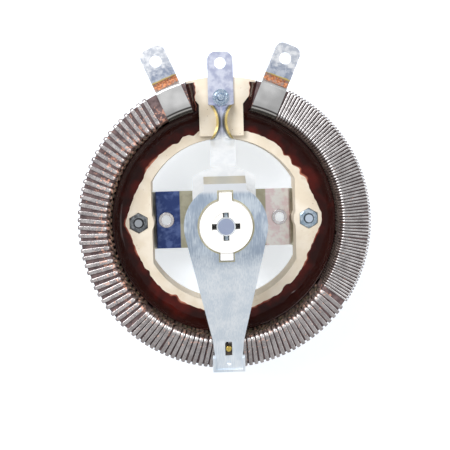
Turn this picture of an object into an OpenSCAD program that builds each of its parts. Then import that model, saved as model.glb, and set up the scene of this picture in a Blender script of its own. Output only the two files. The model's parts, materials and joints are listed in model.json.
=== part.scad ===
// Wirewound power rheostat. All lengths are in millimetres.
// The origin is on the shaft axis in the plane that rests on the panel.
// +Z runs from the panel towards the contact arm, +Y towards the centre terminal.

/* [Wound ring] */
// Outside diameter over the winding
ring_d = 152.4; // [140:0.1:165]
// Radial width of the wound section
ring_w = 16.5; // [14:0.1:19]
// Height of the wound section
ring_h = 28.7; // [24:0.1:33]
// Height of the track above the panel
track_z = 40; // [37:0.1:43]
// Thickness of the winding on each face of the core
wire_t = 1.2; // [0.8:0.05:1.6]
// Radius of the track's inner corner
track_in_r = 3; // [2:0.1:4]
// Radius of the track's outer corner
track_out_r = 1.8; // [1.4:0.1:2.6]
// Half of the angle left open in the core for the centre terminal
core_gap_angle = 14.4; // [13.5:0.1:15]

/* [Winding] */
// Turns in the first fine section
fine_a_turns = 52; // [40:1:54]
// Angle from turn to turn in the first fine section
fine_a_pitch = 1.36; // [1.3:0.01:1.37]
// Turns in the second fine section
fine_b_turns = 20; // [14:1:21]
// Angle from turn to turn in the second fine section
fine_b_pitch = 1.31; // [1.27:0.01:1.34]
// Turns in the medium section
medium_turns = 43; // [36:1:43]
// Angle from turn to turn in the medium section
medium_pitch = 2.28; // [2.1:0.01:2.3]
// Turns in the coarse section
coarse_turns = 34; // [28:1:34]
// Angle from turn to turn in the coarse section
coarse_pitch = 3.09; // [2.9:0.01:3.1]
// Width of a fine turn along the track
fine_w = 1.15; // [0.8:0.05:1.25]
// Width of a medium turn along the track
medium_w = 2.1; // [1.6:0.05:2.15]
// Width of a coarse turn along the track
coarse_w = 2.1; // [1.6:0.05:2.6]

/* [Ceramic base] */
// Radius of the round opening
opening_r = 44.5; // [42:0.1:46]
// Distance between the flats of the opening
opening_w = 77.6; // [74:0.1:80]
// Width of the rim between the opening and the enamel
rim_w = 5.6; // [4.5:0.1:6.5]
// Height of the underside of the base above the panel
base_z0 = 1.5; // [1:0.1:2]
// Height of the top of the base above the panel
base_z1 = 20.5; // [18:0.1:22]
// Thickness of the enamel bed between the base's ledge and the ring
bed_t = 1.7; // [1.2:0.1:2.4]
// Radius of the rounded tip of each bolt boss
boss_r = 7.5; // [7:0.1:9]
// Half of the width of a bolt boss where it meets the rim
boss_half_w = 16.7; // [14:0.1:18]
// Top of the terminal block above the panel
block_z1 = 24; // [23:0.1:25]
// Half of the width of the terminal block between its chamfers and the opening
post_half_w = 11.7; // [10.5:0.1:12]

/* [Mounting] */
// Distance between the two panel screws
panel_spacing = 63.5; // [60:0.1:64]
// Distance between the two bolts of the base
bolt_spacing = 92; // [90:0.1:94]
// Width of the mounting strap
strap_w = 32; // [28:0.1:34]
// Thickness of the mounting strap
strap_t = 2.4; // [2:0.1:2.5]
// Diameter of the base bolts
bolt_d = 4.8; // [4.2:0.1:5]
// Size across the flats of the base nuts
nut_af = 9.5; // [8.8:0.1:9.6]
// Bore of the threaded panel inserts
insert_bore_d = 5.2; // [4:0.1:5.4]

/* [Shaft and hub] */
// Diameter of the shaft
shaft_d = 9.525; // [9:0.005:9.6]
// Length of the shaft in front of the panel
shaft_out = 22.2; // [18:0.1:32]
// Depth of the control behind the panel
depth_back = 60.2; // [58:0.1:62]
// Diameter of the hub's boss in the arm
hub_d = 26.1; // [24:0.1:27]
/* [Contact arm] */
// Radius of the arm's round head
head_r = 20.9; // [20:0.1:22]
// Thickness of the arm's sheet
arm_t = 1.3; // [1:0.1:1.5]
// Radius at which the arm ends
arm_reach = 76.5; // [75:0.1:78]
// Half of the width of the foot at the arm's end
foot_half_w = 8.3; // [7.6:0.1:9]
// Angle of the arm's tapering sides
arm_taper = 12.5; // [12:0.1:13]

/* [Terminals] */
// Width of the lead, bands and lugs
lug_w = 13.5; // [12.5:0.1:14]
// Diameter of the lug holes
lug_hole_d = 6; // [5:0.1:6.5]
// Angle of the end terminals from the centre terminal
end_angle = 21; // [20.5:0.1:21.5]
// Direction in which the end terminals point
end_direction = 23.3; // [22.5:0.1:24]
// Radius of the end lugs' holes
end_hole_r = 90.2; // [89:0.1:92]
// Radius of the centre lug's hole
centre_hole_r = 83.7; // [82:0.1:85]

/* [Hidden] */
$fn = 72;
seat = 0.02;
slip = 0.03;
far = 200;
ring_r = ring_d / 2;
ring_in_r = ring_r - ring_w;
ring_z0 = track_z - ring_h;
ledge_z1 = ring_z0 - bed_t;
core_in_r = ring_in_r + wire_t;
core_out_r = ring_r - wire_t;
core_z0 = ring_z0 + wire_t;
core_z1 = track_z - wire_t;
track_mid_r = (ring_in_r + track_in_r + ring_r - track_out_r) / 2;
section_gap = 1.6;
fine_a_start = 27.9;
fine_b_start = fine_a_start + (fine_a_turns - 1) * fine_a_pitch + section_gap;
medium_start = fine_b_start + (fine_b_turns - 1) * fine_b_pitch + section_gap + 2;
coarse_start = medium_start + (medium_turns - 1) * medium_pitch + section_gap + 1.5;
rim_r = opening_r + rim_w;
bolt_x = bolt_spacing / 2;
boss_line = sqrt(pow(boss_half_w, 2) + pow(boss_x_at_rim() - bolt_x, 2));
boss_turn = atan2(boss_half_w, boss_x_at_rim() - bolt_x) - acos(boss_r / boss_line);
block_wide = post_half_w + 3;
block_step_y = 66;
post_top_y = 62.3;
recess_af = nut_af + 0.4;
recess_depth = 3.4;
nut_h = 3.2;
head_h = 3.3;
strap_end_z = 4.4;
strap_end_x = bolt_x + 7.4;
insert_x = panel_spacing / 2;
insert_d = 8.6;
barrel_d = 15.9;
barrel_z1 = 9;
stop_r = 12;
stud_r = 2.5;
finger_half_w = 2.5;
shaft_r = shaft_d / 2;
hub_r = hub_d / 2;
hub_z0 = 13;
arm_z1 = depth_back - 2.5;
arm_z0 = arm_z1 - arm_t;
arm_hole_r = hub_r + 0.7;
key_half_w = 3.15;
key_reach = hub_r + 3.75;
slot_half_w = key_half_w + 0.45;
slot_reach = key_reach + 0.8;
shoulder_r = 19.2;
sleeve_r = 12.5;
pin_r = 1.15;
pin_z = depth_back - 2.9;
foot_z1 = track_z + 5;
foot_y = 60;
bend_y = 14.4;
tab_half_w = 10.5;
tab_y = 21.1;
tab_drop = 9.2;
brush_gap = 0.25;
brush_half_w = 4;
brush_z1 = foot_z1 - arm_t - seat;
brush_y0 = 62.9;
brush_y1 = arm_reach - 2.1;
pin_y = 64.4;
window_y = 64.5;
collector_z = 37.5;
collector_t = 1.2;
collector_r = 20.3;
collector_hole_r = sleeve_r + 0.7;
collector_brush_r = 2.4;
collector_brush_y = 16.6;
lead_t = 1.2;
lead_z = block_z1 + seat;
neck_waist = 1.65;
neck_floor = 0.7;
neck_arc_r = 12.9;
neck_y = 52.8;
lead_screw_y = 65.7;
lead_screw_r = 1.75;
band_t = 1.15;
band_r = ring_r - ring_w / 2;
tongue_z = track_z - 4.6;
lug_t = 1.5;
braze_w = 3.5;
braze_y0 = ring_r - band_r + 0.3;
lug_y0 = braze_y0 + braze_w;
end_hole_y = end_hole_r - band_r;
lug_y1 = end_hole_y + 7.3;

function boss_x_at_rim() = sqrt(pow(rim_r, 2) - pow(boss_half_w, 2));

// The points of a bent sheet's side: the given upper line and its mitred lower line.
function sheet_side(line, t) = concat(line, [for (i = [len(line) - 1:-1:0]) line[i] - t * mitre(line, i)]);
function unit(v) = v / norm(v);
function left_of(v) = [-v[1], v[0]];
function edge_normal(line, i) = left_of(unit(line[i + 1] - line[i]));
function mitre(line, i) =
    i == 0 ? edge_normal(line, 0) :
    i == len(line) - 1 ? edge_normal(line, i - 1) :
    let (a = edge_normal(line, i - 1), b = edge_normal(line, i)) (a + b) / (1 + a * b);

// Cuts one corner of a profile to a round of radius r. sx and sz point into the profile.
module corner_cut(x, z, sx, sz, r) {
    translate([x + sx * r, z + sz * r])
        difference() {
            translate([sx > 0 ? -r - 1 : 0, sz > 0 ? -r - 1 : 0])
                square(r + 1);
            circle(r);
        }
}

// A wound section's profile with its own radius at each corner.
module section_2d(x0, x1, z0, z1, r_in, r_out, r_low) {
    difference() {
        translate([x0, z0])
            square([x1 - x0, z1 - z0]);
        corner_cut(x0, z1, 1, -1, r_in);
        corner_cut(x1, z1, -1, -1, r_out);
        corner_cut(x0, z0, 1, 1, r_low);
        corner_cut(x1, z0, -1, 1, r_low);
    }
}

module outer_section_2d() {
    section_2d(ring_in_r, ring_r, ring_z0, track_z, track_in_r, track_out_r, track_out_r);
}

module core_section_2d(grow) {
    section_2d(core_in_r - grow, core_out_r + grow, core_z0 - grow, core_z1 + grow,
        track_in_r - wire_t + grow, track_out_r - wire_t + grow, track_out_r - wire_t + grow);
}

module boss_2d(grow) {
    for (side = [0, 1])
        mirror([side, 0]) {
            translate([bolt_x, 0])
                circle(boss_r + grow);
            polygon([
                [bolt_x - 6, -boss_half_w - grow],
                [boss_x_at_rim() + grow, -boss_half_w - grow],
                [bolt_x + (boss_r + grow) * cos(boss_turn) - 0.3, -(boss_r + grow) * sin(boss_turn)],
                [bolt_x + (boss_r + grow) * cos(boss_turn) - 0.3, (boss_r + grow) * sin(boss_turn)],
                [boss_x_at_rim() + grow, boss_half_w + grow],
                [bolt_x - 6, boss_half_w + grow]
            ]);
        }
}

module opening_2d() {
    difference() {
        intersection() {
            circle(opening_r);
            square([opening_w, far], center = true);
        }
        for (side = [-1, 1])
            translate([side * bolt_x, 0])
                circle(bolt_x - opening_w / 2 + 1);
    }
}

module block_2d(grow) {
    intersection() {
        circle(ring_r + 0.5 + grow);
        polygon([
            [-post_half_w - grow, opening_r + 1],
            [post_half_w + grow, opening_r + 1],
            [post_half_w + grow, post_top_y - grow],
            [block_wide + grow, block_step_y - grow],
            [block_wide + 4 + grow, ring_r - 2],
            [block_wide + 4 + grow, ring_r + 4],
            [-block_wide - 4 - grow, ring_r + 4],
            [-block_wide - 4 - grow, ring_r - 2],
            [-block_wide - grow, block_step_y - grow],
            [-post_half_w - grow, post_top_y - grow]
        ]);
    }
}

// A wedge about +Y that reaches the given angle to each side.
module sector_2d(angle) {
    polygon([[0, 0], [far * tan(angle), far], [-far * tan(angle), far]]);
}

module hexagon_2d(af) {
    circle(r = af / sqrt(3), $fn = 6);
}

module ceramic_base() {
    color([0.90, 0.86, 0.78])
    difference() {
        union() {
            rotate_extrude()
                polygon([[opening_r - 8, base_z0], [rim_r, base_z0], [rim_r, base_z0 + 1.5],
                    [ring_r - 3, base_z0 + 1.5], [ring_r - 3, ledge_z1], [rim_r, ledge_z1],
                    [rim_r, base_z1], [opening_r - 8, base_z1]]);
            translate([0, 0, base_z0])
                linear_extrude(base_z1 - base_z0)
                    boss_2d(0);
            translate([0, 0, base_z0])
                linear_extrude(block_z1 - base_z0)
                    block_2d(0);
        }
        translate([0, 0, -1])
            linear_extrude(block_z1 + 2)
                opening_2d();
        for (side = [-1, 1]) {
            translate([side * bolt_x, 0, -1])
                cylinder(r = bolt_d / 2 + 0.2, h = base_z1 + 2);
            translate([side * bolt_x, 0, base_z1 - recess_depth])
                rotate([0, 0, 30])
                    linear_extrude(recess_depth + 1)
                        hexagon_2d(recess_af);
            translate([side * (strap_end_x + seat + opening_w / 2 - 3) / 2, 0, (strap_end_z + strap_t + seat) / 2])
                cube([strap_end_x + seat - opening_w / 2 + 3, strap_w + 0.6, strap_end_z + strap_t + seat],
                    center = true);
        }
        translate([0, lead_screw_y, -1])
            cylinder(r = lead_screw_r + 0.2, h = block_z1 + 2);
        translate([0, lead_screw_y, -1])
            cylinder(r = 4, h = 13);
    }
}

module ceramic_core() {
    color([0.86, 0.82, 0.74])
    rotate([0, 0, 90 + core_gap_angle])
        rotate_extrude(angle = 360 - 2 * core_gap_angle)
            core_section_2d(0);
}

module enamel_coating() {
    color([0.20, 0.05, 0.04])
    difference() {
        union() {
            rotate([0, 0, 90])
                rotate_extrude()
                    polygon([[rim_r + slip, ledge_z1 + slip], [ring_r - 3, ledge_z1 + slip],
                        [ring_r - 3, ring_z0 - 2 * slip], [ring_in_r - 2 * slip, ring_z0 - 2 * slip],
                        [ring_in_r - 2 * slip, base_z1 + 3.6], [ring_in_r - 1.2, base_z1 + 1.4],
                        [ring_in_r - 4.4, base_z1 - 0.2], [rim_r + 1.6, base_z1 - 0.6],
                        [rim_r + slip, base_z1 - 0.2]]);
            translate([0, 0, ledge_z1 + slip])
                linear_extrude(block_z1 - ledge_z1 - 1)
                    intersection() {
                        difference() {
                            circle(ring_r - 0.7);
                            circle(ring_in_r - 0.4);
                        }
                        sector_2d(core_gap_angle - 0.05);
                    }
            translate([0, 0, ledge_z1 + 1])
                linear_extrude(core_z1 - ledge_z1 - 2.2)
                    intersection() {
                        difference() {
                            circle(core_out_r + 0.3);
                            circle(core_in_r - 0.3);
                        }
                        difference() {
                            sector_2d(core_gap_angle - 0.1);
                            sector_2d(core_gap_angle - 0.9);
                        }
                    }
        }
        translate([0, 0, -1])
            linear_extrude(far)
                block_2d(slip);
        translate([0, 0, -1])
            linear_extrude(far)
                boss_2d(slip);
    }
}

// Closed turns round the core, each at its own angle clockwise from the centre terminal.
module turns(start, pitch, count, width) {
    for (i = [0:count - 1])
        rotate([0, 0, 90 - start - i * pitch])
            rotate([90, 0, 0])
                linear_extrude(width, center = true)
                    difference() {
                        outer_section_2d();
                        core_section_2d(slip);
                    }
}

module winding_fine_a() {
    color([0.55, 0.53, 0.52])
    turns(fine_a_start, fine_a_pitch, fine_a_turns, fine_w);
}

module winding_fine_b() {
    color([0.52, 0.50, 0.49])
    turns(fine_b_start, fine_b_pitch, fine_b_turns, fine_w);
}

module winding_medium() {
    color([0.58, 0.56, 0.54])
    turns(medium_start, medium_pitch, medium_turns, medium_w);
}

module winding_coarse() {
    color([0.56, 0.52, 0.50])
    turns(coarse_start, coarse_pitch, coarse_turns, coarse_w);
}

// Moves a shape from beside the origin to an end terminal: 1 is the right one, -1 the left.
module at_end(side) {
    rotate([0, 0, -side * end_angle])
        translate([0, band_r, 0])
            rotate([0, 0, -side * (end_direction - end_angle)])
                children();
}

module end_band(side) {
    color([0.72, 0.72, 0.74]) {
        intersection() {
            rotate([0, 0, 90 - side * end_angle - 12])
                rotate_extrude(angle = 24)
                    difference() {
                        outer_section_2d();
                        core_section_2d(wire_t - band_t);
                    }
            at_end(side)
                translate([0, 0, track_z / 2])
                    cube([lug_w, 40, 2 * track_z], center = true);
        }
        at_end(side)
            translate([-lug_w / 2, ring_r - band_r - 1, tongue_z])
                cube([lug_w, lug_y0 + 3 - ring_r + band_r + 1, lead_t]);
    }
}

module left_end_band() {
    end_band(-1);
}

module right_end_band() {
    end_band(1);
}

module braze(side) {
    color([0.72, 0.42, 0.24])
    at_end(side)
        translate([-lug_w / 2 + 0.3, 0, tongue_z + lead_t + seat])
            rotate([90, 0, 90])
                linear_extrude(lug_w - 0.6)
                    polygon([[braze_y0, 0], [lug_y0 - slip, 0], [lug_y0 - slip, lug_t * 0.8],
                        [braze_y0 + braze_w * 0.6, 0.7], [braze_y0, 0.9]]);
}

module left_braze() {
    braze(-1);
}

module right_braze() {
    braze(1);
}

// A flat lug from y0 to y1 with rounded outer corners and a hole.
module lug_2d(y0, y1, hole_y, corner) {
    difference() {
        translate([-lug_w / 2, y0])
            square([lug_w, y1 - y0]);
        corner_cut(-lug_w / 2, y1, 1, -1, corner);
        corner_cut(lug_w / 2, y1, -1, -1, corner);
        translate([0, hole_y])
            circle(lug_hole_d / 2);
    }
}

module end_lug(side) {
    color([0.76, 0.76, 0.78])
    at_end(side)
        translate([0, 0, tongue_z + lead_t + seat])
            linear_extrude(lug_t)
                lug_2d(lug_y0, lug_y1, end_hole_y, 4);
}

module left_lug() {
    end_lug(-1);
}

module right_lug() {
    end_lug(1);
}

// The lead's neck folds up from flat into a narrow channel and opens flat again.
neck_rows = [for (i = [0:16]) neck_y + 9.6 - i * 1.2];
rise_rows = [41.6, 31.2, 29.4];
function neck_half(y) = neck_waist + neck_arc_r - sqrt(pow(neck_arc_r, 2) - pow(y - neck_y, 2));
function neck_fold(y) =
    abs(y - neck_y) > 9.5 ? 0 : acos(min(1, (neck_half(y) - neck_floor) / (lug_w / 2 - neck_floor)));
rise_y = 51;
rise_k = (collector_z - lead_z) / (pow(rise_y - 43.2, 2) + 2 * (rise_y - 43.2) * (43.2 - 31.2));
function lead_height(y) =
    y > rise_y ? lead_z :
    y > 43.2 ? lead_z + rise_k * pow(rise_y - y, 2) :
    lead_z + rise_k * (pow(rise_y - 43.2, 2) + 2 * (rise_y - 43.2) * (43.2 - max(y, 31.2)));
function lead_row(y, fold) =
    let (wall = lug_w / 2 - neck_floor, z = lead_height(y), m = lead_t / cos(fold / 2))
    [[-neck_floor - wall * cos(fold), y, z + lead_t + wall * sin(fold)],
        [-neck_floor, y, z + lead_t],
        [neck_floor, y, z + lead_t],
        [neck_floor + wall * cos(fold), y, z + lead_t + wall * sin(fold)],
        [neck_floor + wall * cos(fold) + lead_t * sin(fold), y, z + lead_t * (1 - cos(fold)) + wall * sin(fold)],
        [neck_floor + m * sin(fold / 2), y, z + lead_t - m * cos(fold / 2)],
        [-neck_floor - m * sin(fold / 2), y, z + lead_t - m * cos(fold / 2)],
        [-neck_floor - wall * cos(fold) - lead_t * sin(fold), y, z + lead_t * (1 - cos(fold)) + wall * sin(fold)]];
lead_rows = concat([for (y = neck_rows) lead_row(y, neck_fold(y))], [for (y = rise_rows) lead_row(y, 0)]);

module lead_neck() {
    n = len(lead_rows);
    points = [for (row = lead_rows) for (p = row) p];
    sides = [for (i = [0:n - 2]) for (j = [0:7]) for (half = [0, 1])
        half == 0 ? [i * 8 + j, i * 8 + (j + 1) % 8, (i + 1) * 8 + j] :
        [i * 8 + (j + 1) % 8, (i + 1) * 8 + (j + 1) % 8, (i + 1) * 8 + j]];
    first = [[0, 7, 1], [7, 6, 1], [1, 6, 2], [6, 5, 2], [2, 5, 3], [5, 4, 3]];
    last = [for (f = first) [f[0] + (n - 1) * 8, f[2] + (n - 1) * 8, f[1] + (n - 1) * 8]];
    polyhedron(points, concat(sides, first, last));
}

module centre_lead() {
    color([0.76, 0.78, 0.82]) {
        difference() {
            translate([0, 0, lead_z])
                linear_extrude(lead_t)
                    lug_2d(neck_y + 9.4, centre_hole_r + 6, centre_hole_r, 4.5);
            translate([0, lead_screw_y, 0])
                cylinder(r = lead_screw_r + 0.2, h = far);
        }
        lead_neck();
        translate([0, 0, collector_z])
            linear_extrude(collector_t)
                difference() {
                    union() {
                        circle(collector_r);
                        intersection() {
                            circle(29.5);
                            translate([-16.4, 0])
                                square([32.8, 40]);
                        }
                    }
                    circle(collector_hole_r);
                }
    }
}

module centre_screw() {
    color([0.70, 0.72, 0.76])
    translate([0, lead_screw_y, 0]) {
        translate([0, 0, 12 - 2.4])
            cylinder(r = 3.4, h = 2.4 - seat);
        translate([0, 0, 11])
            cylinder(r = lead_screw_r, h = lead_z + lead_t + 4.6 - 11);
    }
}

module centre_washer() {
    color([0.70, 0.74, 0.80])
    translate([0, lead_screw_y, lead_z + lead_t + seat])
        difference() {
            cylinder(r = 4.4, h = 0.8);
            translate([0, 0, -1])
                cylinder(r = lead_screw_r + 0.15, h = 3);
        }
}

module centre_nut() {
    color([0.66, 0.70, 0.77])
    translate([0, lead_screw_y, lead_z + lead_t + 0.8 + 2 * seat])
        difference() {
            linear_extrude(2.4)
                hexagon_2d(6.8);
            translate([0, 0, -1])
                cylinder(r = lead_screw_r + seat, h = 5);
        }
}

module strap_side_2d() {
    polygon(sheet_side([[-strap_end_x, strap_end_z + strap_t], [-40, strap_end_z + strap_t],
        [-37, strap_t], [37, strap_t], [40, strap_end_z + strap_t],
        [strap_end_x, strap_end_z + strap_t]], strap_t));
}

module mounting_strap() {
    color([0.62, 0.61, 0.50])
    difference() {
        translate([0, strap_w / 2, 0])
            rotate([90, 0, 0])
                linear_extrude(strap_w)
                    strap_side_2d();
        translate([0, 0, -1])
            cylinder(r = barrel_d / 2, h = 10);
        translate([0, stop_r, -1])
            cylinder(r = stud_r, h = 10);
        for (side = [-1, 1]) {
            translate([side * insert_x, 0, -1])
                cylinder(r = insert_d / 2, h = 10);
            translate([side * bolt_x, 0, -1])
                cylinder(r = bolt_d / 2 + 0.2, h = 20);
        }
    }
}

module panel_inserts() {
    color([0.75, 0.75, 0.76])
    for (side = [-1, 1])
        translate([side * insert_x, 0, 0])
            difference() {
                cylinder(r = insert_d / 2 - seat, h = strap_t + 1);
                translate([0, 0, -1])
                    cylinder(r = insert_bore_d / 2, h = 10);
            }
}

module base_bolts() {
    color([0.55, 0.56, 0.58])
    for (side = [-1, 1])
        translate([side * bolt_x, 0, strap_end_z - head_h]) {
            cylinder(r = 4.7, h = head_h - seat);
            cylinder(r = bolt_d / 2, h = base_z1 + 1.2 - strap_end_z + head_h);
        }
}

module base_nuts() {
    color([0.60, 0.64, 0.70])
    for (side = [-1, 1])
        translate([side * bolt_x, 0, base_z1 - recess_depth + seat])
            difference() {
                rotate([0, 0, 30])
                    linear_extrude(nut_h)
                        hexagon_2d(nut_af);
                translate([0, 0, -1])
                    cylinder(r = bolt_d / 2 + seat, h = 6);
            }
}

module bushing() {
    color([0.70, 0.64, 0.42])
    difference() {
        union() {
            cylinder(r = barrel_d / 2 - seat, h = barrel_z1);
            translate([0, 0, strap_t + seat])
                cylinder(r = stop_r - stud_r - 0.4, h = 2);
        }
        translate([0, 0, -1])
            cylinder(r = shaft_r + slip, h = barrel_z1 + 2);
    }
}

module stop_stud() {
    color([0.60, 0.60, 0.62])
    translate([0, stop_r, 0.1])
        cylinder(r = stud_r - seat, h = hub_z0 - 0.6);
}

module thrust_washer() {
    color([0.66, 0.62, 0.44])
    translate([0, 0, barrel_z1 + 0.05])
        difference() {
            cylinder(r = 8.4, h = 0.6);
            translate([0, 0, -1])
                cylinder(r = shaft_r + seat, h = 3);
        }
}

module shaft() {
    color([0.72, 0.74, 0.80])
    difference() {
        union() {
            translate([0, 0, -shaft_out])
                cylinder(r1 = shaft_r - 0.6, r2 = shaft_r, h = 0.6);
            translate([0, 0, -shaft_out + 0.6])
                cylinder(r = shaft_r, h = shaft_out + depth_back - 1.8);
            translate([0, 0, depth_back - 1.2])
                cylinder(r1 = shaft_r, r2 = shaft_r - 0.6, h = 0.6);
        }
        translate([0, 0, -1.3])
            difference() {
                cylinder(r = 8, h = 0.9);
                translate([0, 0, -1])
                    cylinder(r = shaft_r - 0.55, h = 3);
            }
        translate([0, 0, pin_z])
            rotate([90, 0, 0])
                cylinder(r = pin_r + seat, h = 20, center = true);
    }
}

module cross_pin() {
    color([0.62, 0.62, 0.60])
    translate([0, 0, pin_z])
        rotate([90, 0, 0])
            cylinder(r = pin_r, h = 13.6, center = true);
}

module hub() {
    color([0.95, 0.94, 0.92])
    difference() {
        union() {
            translate([0, 0, hub_z0])
                cylinder(r = sleeve_r, h = depth_back - hub_z0 - 2);
            translate([0, 0, arm_z0 - seat - 6.4])
                cylinder(r = shoulder_r, h = 6.4);
            translate([0, 0, arm_z0 - 1])
                cylinder(r = hub_r, h = depth_back - arm_z0 + 1);
            translate([-key_half_w, -key_reach, arm_z0 - 1])
                cube([2 * key_half_w, 2 * key_reach, depth_back - 1.2 - arm_z0 + 1]);
        }
        translate([0, 0, -1])
            cylinder(r = shaft_r + seat, h = far);
        translate([0, 0, depth_back - 0.6])
            cylinder(r = 7.1, h = 5);
        for (slot = [[0, 15], [90, 4.4]])
            rotate([0, 0, slot[0]])
                translate([-7.05, -1.5, depth_back - slot[1]])
                    cube([14.1, 3, slot[1] + 5]);
        translate([0, collector_brush_y, 0])
            cylinder(r = collector_brush_r + seat, h = arm_z0 - 3);
        translate([-shoulder_r, -bend_y + 0.4 - 2 * shoulder_r, arm_z0 - 8])
            cube([2 * shoulder_r, 2 * shoulder_r, 8 - seat]);
    }
}

module arm_outline_2d() {
    end_w = head_r * cos(arm_taper) - (foot_y - head_r * sin(arm_taper)) * tan(arm_taper);
    circle(head_r);
    polygon([
        [-head_r * cos(arm_taper), -head_r * sin(arm_taper)],
        [-end_w, -foot_y],
        [-foot_half_w + 1.1, -foot_y - 8],
        [foot_half_w - 1.1, -foot_y - 8],
        [end_w, -foot_y],
        [head_r * cos(arm_taper), -head_r * sin(arm_taper)]
    ]);
    translate([-foot_half_w, -arm_reach])
        square([2 * foot_half_w, arm_reach - foot_y - 8]);
    translate([-tab_half_w, 0])
        square([2 * tab_half_w, tab_y + 6]);
}

module contact_arm() {
    color([0.74, 0.78, 0.86]) {
        difference() {
            intersection() {
                translate([0, 0, track_z])
                    linear_extrude(30)
                        arm_outline_2d();
                translate([-50, 0, 0])
                    rotate([90, 0, 90])
                        linear_extrude(100)
                            polygon(sheet_side([[tab_y + 3.6, arm_z1 - tab_drop], [tab_y, arm_z1],
                                [-bend_y, arm_z1], [-foot_y, foot_z1], [-arm_reach, foot_z1]], -arm_t));
            }
            cylinder(r = arm_hole_r, h = far);
            translate([-slot_half_w, -slot_reach, 0])
                cube([2 * slot_half_w, 2 * slot_reach, far]);
            translate([-1.8, -window_y - 3.6, 0])
                cube([3.6, 7.2, far]);
            translate([0, -72, foot_z1 + 0.9])
                sphere(r = 1.5);
        }
        for (side = [-1, 1])
            translate([side * (foot_half_w - arm_t / 2) - arm_t / 2, -arm_reach + 0.8, foot_z1 - 0.5])
                cube([arm_t, 6.6, 2.6]);
        translate([-foot_half_w, -arm_reach, foot_z1 - 0.5])
            cube([2 * foot_half_w, arm_t, 1.8]);
    }
}

module track_brush() {
    color([0.35, 0.30, 0.27])
    difference() {
        translate([-brush_half_w, -brush_y1, track_z + brush_gap])
            cube([2 * brush_half_w, brush_y1 - brush_y0, brush_z1 - track_z - brush_gap]);
        translate([0, -pin_y, brush_z1 - 1.6])
            cylinder(r = 1.4 + seat, h = 5);
    }
}

module brush_pin() {
    color([0.80, 0.68, 0.32])
    translate([0, -pin_y, brush_z1 - 1.6 + seat])
        cylinder(r = 1.4, h = 4.3);
}

module collector_brush() {
    color([0.30, 0.28, 0.26])
    translate([0, collector_brush_y, collector_z + collector_t + 0.1])
        cylinder(r = collector_brush_r, h = arm_z0 - 3.1 - collector_z - collector_t);
}

module stop_finger() {
    color([0.60, 0.60, 0.62])
    translate([0, 0, barrel_z1 + 0.7])
        difference() {
            union() {
                cylinder(r = 8.4, h = 3.2);
                translate([-finger_half_w, -stop_r - 2.5, 0])
                    cube([2 * finger_half_w, stop_r, 3.2]);
            }
            translate([0, 0, -1])
                cylinder(r = shaft_r + seat, h = 6);
        }
}

module retaining_ring() {
    color([0.45, 0.45, 0.47])
    translate([0, 0, -1.25])
        rotate([0, 0, 30])
            rotate_extrude(angle = 300)
                translate([shaft_r - 0.53, 0])
                    square([2.4, 0.8]);
}

ceramic_base();
ceramic_core();
enamel_coating();
winding_fine_a();
winding_fine_b();
winding_medium();
winding_coarse();
left_end_band();
right_end_band();
left_braze();
right_braze();
left_lug();
right_lug();
centre_lead();
centre_screw();
centre_washer();
centre_nut();
mounting_strap();
panel_inserts();
base_bolts();
base_nuts();
bushing();
stop_stud();
thrust_washer();
shaft();
cross_pin();
hub();
contact_arm();
track_brush();
brush_pin();
collector_brush();
stop_finger();
retaining_ring();
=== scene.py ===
import json
import math
import bpy
import bmesh
import numpy as np
from mathutils import Matrix, Vector


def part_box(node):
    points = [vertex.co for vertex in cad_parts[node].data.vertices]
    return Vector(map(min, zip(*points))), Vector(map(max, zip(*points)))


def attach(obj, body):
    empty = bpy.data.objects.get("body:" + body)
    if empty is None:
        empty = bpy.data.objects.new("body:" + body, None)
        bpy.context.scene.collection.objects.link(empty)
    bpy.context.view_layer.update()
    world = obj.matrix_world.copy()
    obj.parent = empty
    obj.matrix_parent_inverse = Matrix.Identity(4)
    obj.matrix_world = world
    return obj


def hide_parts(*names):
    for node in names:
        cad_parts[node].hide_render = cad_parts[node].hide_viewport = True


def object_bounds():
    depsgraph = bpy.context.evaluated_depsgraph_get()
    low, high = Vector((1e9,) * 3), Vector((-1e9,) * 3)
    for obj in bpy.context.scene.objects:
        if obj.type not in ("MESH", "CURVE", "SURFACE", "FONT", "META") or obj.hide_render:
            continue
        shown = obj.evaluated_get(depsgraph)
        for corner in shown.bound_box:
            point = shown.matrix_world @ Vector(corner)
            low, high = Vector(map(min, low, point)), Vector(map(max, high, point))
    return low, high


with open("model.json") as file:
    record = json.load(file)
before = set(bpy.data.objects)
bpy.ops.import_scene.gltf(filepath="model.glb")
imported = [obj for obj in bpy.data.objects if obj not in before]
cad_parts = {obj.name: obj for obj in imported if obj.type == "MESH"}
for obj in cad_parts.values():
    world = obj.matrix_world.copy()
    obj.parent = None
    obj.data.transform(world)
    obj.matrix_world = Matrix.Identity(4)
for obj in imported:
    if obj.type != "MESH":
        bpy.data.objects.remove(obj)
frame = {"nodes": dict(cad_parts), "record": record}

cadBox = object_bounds()
mm = 0.001
print("frame loaded")


def low(node):
    return np.array(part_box(node)[0])


def high(node):
    return np.array(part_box(node)[1])


ring = dict(
    outerR=-low("winding_medium")[1],
    coreOutR=-low("ceramic_core")[1],
    topZ=high("winding_medium")[2],
    bottomZ=low("winding_medium")[2],
    width=16.5 * mm,
    innerRound=3 * mm,
    outerRound=1.8 * mm,
    footRound=1.8 * mm,
)
ring["wireT"] = ring["outerR"] - ring["coreOutR"]
ring["innerR"] = ring["outerR"] - ring["width"]
rimTopZ = low("centre_lead")[2] - 3.52 * mm
fixingX = 46 * mm  # the two base nuts stand this far from the shaft
terminalY = 65.7 * mm  # the centre terminal's screw
rng = np.random.default_rng(11)


def tint(red, green, blueReflection):
    # a colour given as it looks on a screen, turned to the linear numbers a shader takes
    def linear(c):
        return c / 12.92 if c <= 0.04045 else ((c + 0.055) / 1.055) ** 2.4
    return (linear(red / 255), linear(green / 255), linear(blueReflection / 255), 1.0)


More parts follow.
